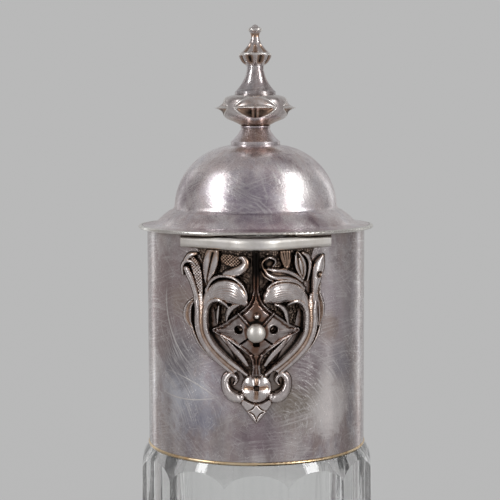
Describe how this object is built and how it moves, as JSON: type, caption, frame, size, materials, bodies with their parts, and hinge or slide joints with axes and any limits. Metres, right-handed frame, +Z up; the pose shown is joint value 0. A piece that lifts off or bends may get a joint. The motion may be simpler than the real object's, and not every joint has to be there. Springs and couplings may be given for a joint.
{
  "type": "claret jug",
  "caption": "Tall ewer with a fluted glass body, silver collar, beaked spout under cast leaf ornament, scroll handle and hinged domed lid with a knopped finial; it holds and pours wine.",
  "frame": {"origin": "centre of the standing face of the glass base", "axes": "+Z up along the jug's axis, -Y towards the spout, +Y towards the hinge and handle, X across the plane of symmetry"},
  "size_m": [0.0906, 0.1276, 0.2874],
  "materials": {
    "glass": "polished cut glass",
    "silver": "tarnished silver, hand rubbed",
    "cast_silver": "cast silver, bright on the high places and dark in the hollows",
    "gilt": "worn gilding",
    "brass": "plain turned",
    "plaster": "matt, hardened"
  },
  "bodies": {
    "jug": {"glass_body": "glass", "neck_cement": "plaster", "collar": "silver", "collar_foot_wire": "gilt", "mouth_ring": "silver", "spout_shell": "silver", "spout_lip": "silver", "spout_scroll_left": "cast_silver", "spout_scroll_right": "cast_silver", "spout_cross_plate": "cast_silver", "spout_pearl": "cast_silver", "spout_rosette": "cast_silver", "spout_volute_left": "cast_silver", "spout_volute_right": "cast_silver", "spout_drop": "cast_silver", "handle": "silver", "handle_upper_boss": "silver", "handle_lower_boss": "silver", "hinge_bracket": "silver", "hinge_pin": "silver"},
    "lid": {"lid_dome": "silver", "lid_rim_wire": "silver", "lid_bezel": "silver", "lid_hinge_strap": "silver", "thumbpiece": "silver", "finial_foot": "silver", "finial_knop": "silver", "finial_knop_points": "silver", "finial_spool": "silver", "finial_bud": "silver", "finial_button": "silver", "finial_rod": "brass", "finial_washer": "brass", "finial_nut": "brass"}
  },
  "joints": [
    {"name": "lid_hinge", "type": "hinge", "parent": "jug", "child": "lid", "pos_m": [0, 0.0364, 0.2306], "axis": [-1, 0, 0], "range_deg": [0, 100]}
  ]
}
